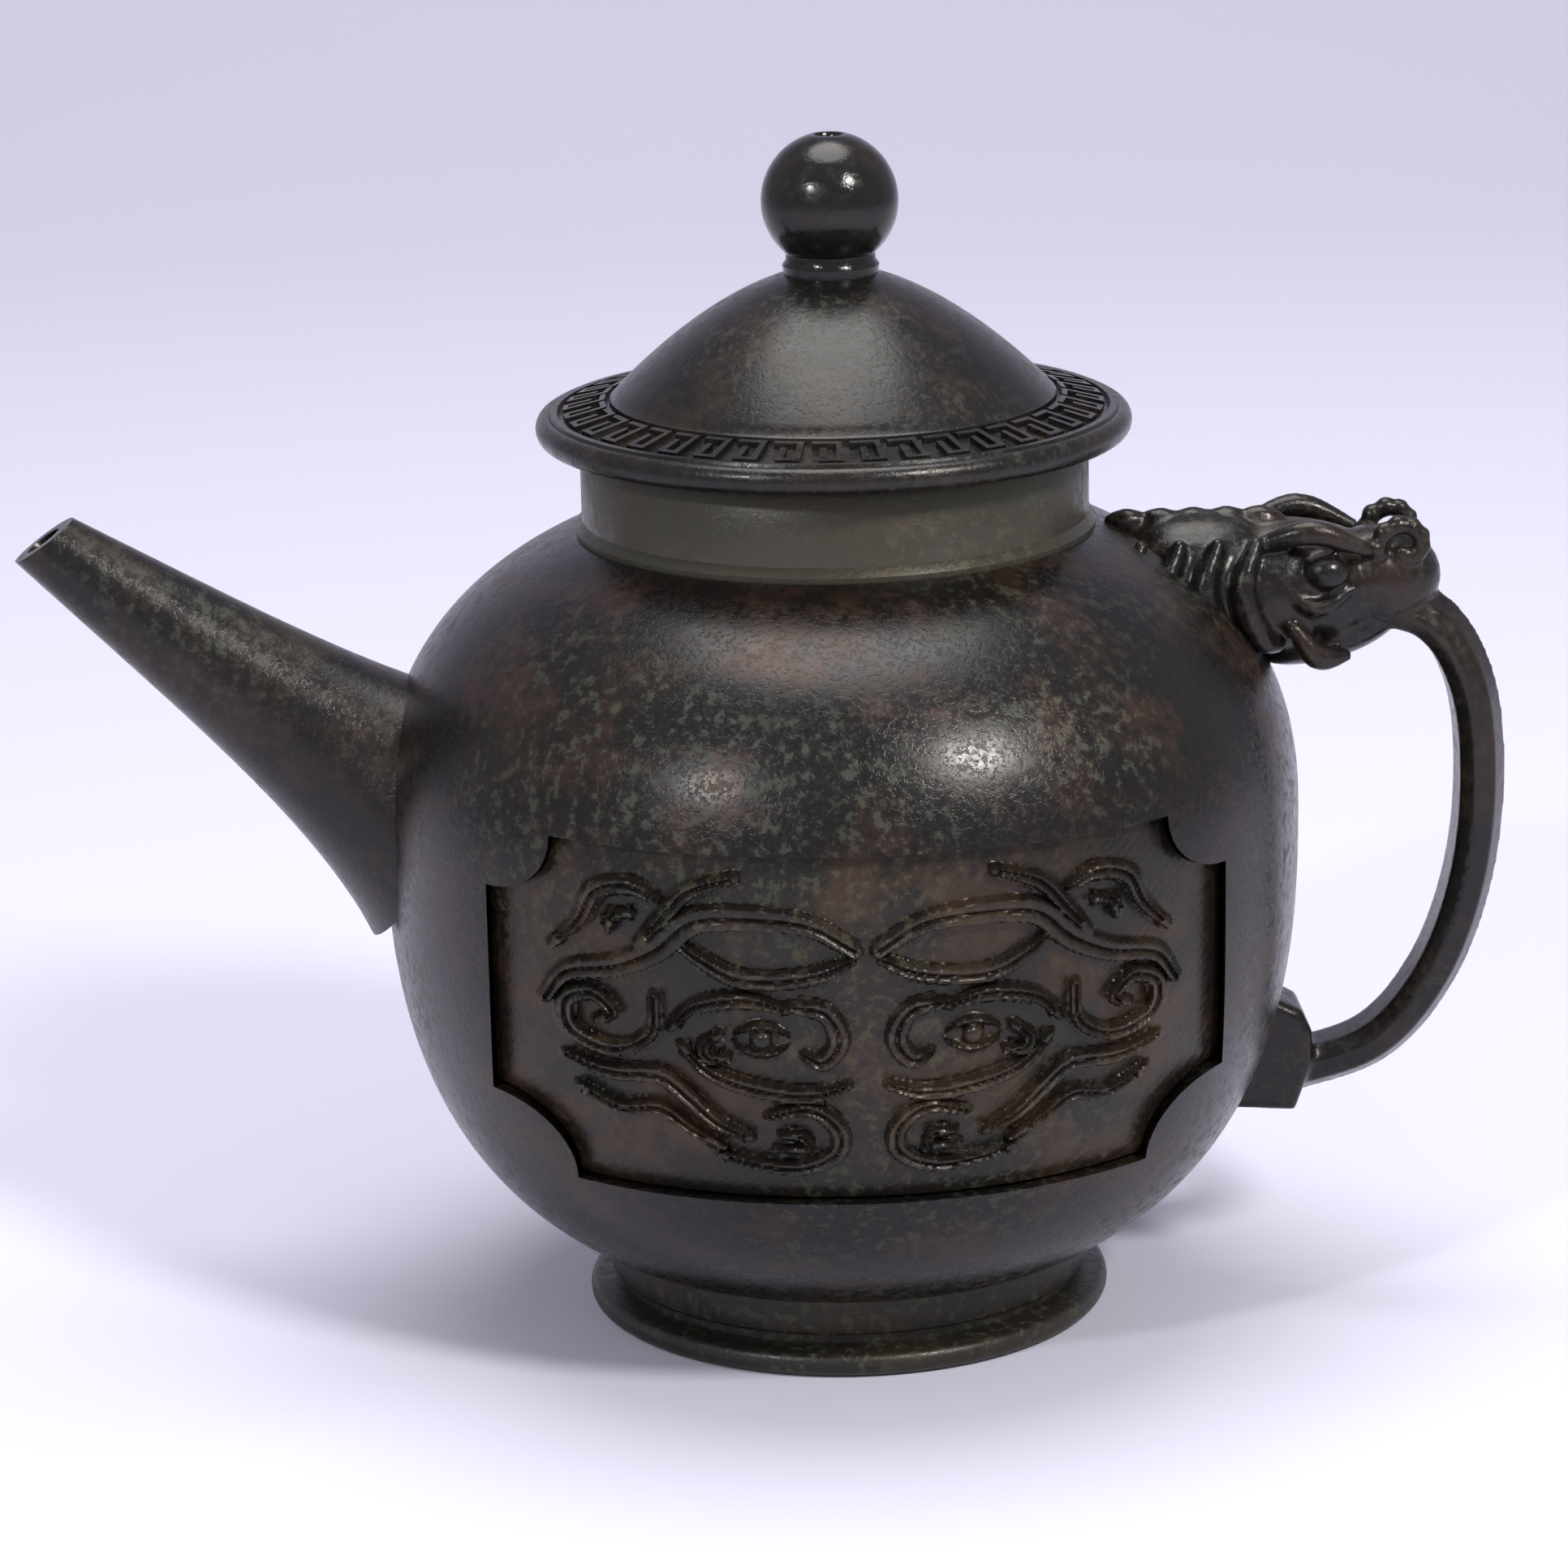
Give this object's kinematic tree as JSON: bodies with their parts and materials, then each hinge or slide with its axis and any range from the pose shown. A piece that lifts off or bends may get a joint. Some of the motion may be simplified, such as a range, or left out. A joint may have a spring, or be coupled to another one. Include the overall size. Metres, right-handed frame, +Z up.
{
  "type": "water dropper",
  "caption": "Lidded teapot-form bronze water dropper with a straight spout, beast-head loop handle, wrapped relief panels, key-fret lid rim and a bored ball finial.",
  "frame": {"origin": "middle of the overall length and width, on the plane the foot ring stands on", "axes": "+X towards the handle, -X towards the spout, -Y towards the front relief panel, +Z up"},
  "size_m": [0.1214, 0.0738, 0.0973],
  "materials": {
    "bronze_body": "dark patina with brown and green patches",
    "bronze_foot": "dark grey-green patina",
    "bronze_neck": "brushed olive patina",
    "bronze_spout": "dark satin patina",
    "bronze_handle": "dark satin patina",
    "bronze_relief": "dark patina with olive wear",
    "bronze_lid": "dark satin patina",
    "bronze_inner": "plain turned bronze",
    "bronze_polished": "glossy dark patina"
  },
  "bodies": {
    "vessel": {"vessel_body": "bronze_body", "foot_ring": "bronze_foot", "neck_collar": "bronze_neck", "spout": "bronze_spout", "handle": "bronze_handle", "relief_panel_front": "bronze_relief", "relief_panel_rear": "bronze_relief"},
    "lid": {"lid_dome": "bronze_lid", "lid_flange": "bronze_inner", "finial": "bronze_polished"}
  },
  "joints": [
    {"name": "lid_lift", "type": "slide", "parent": "vessel", "child": "lid", "axis": [0, 0, 1], "range_m": [0, 0.03]}
  ]
}
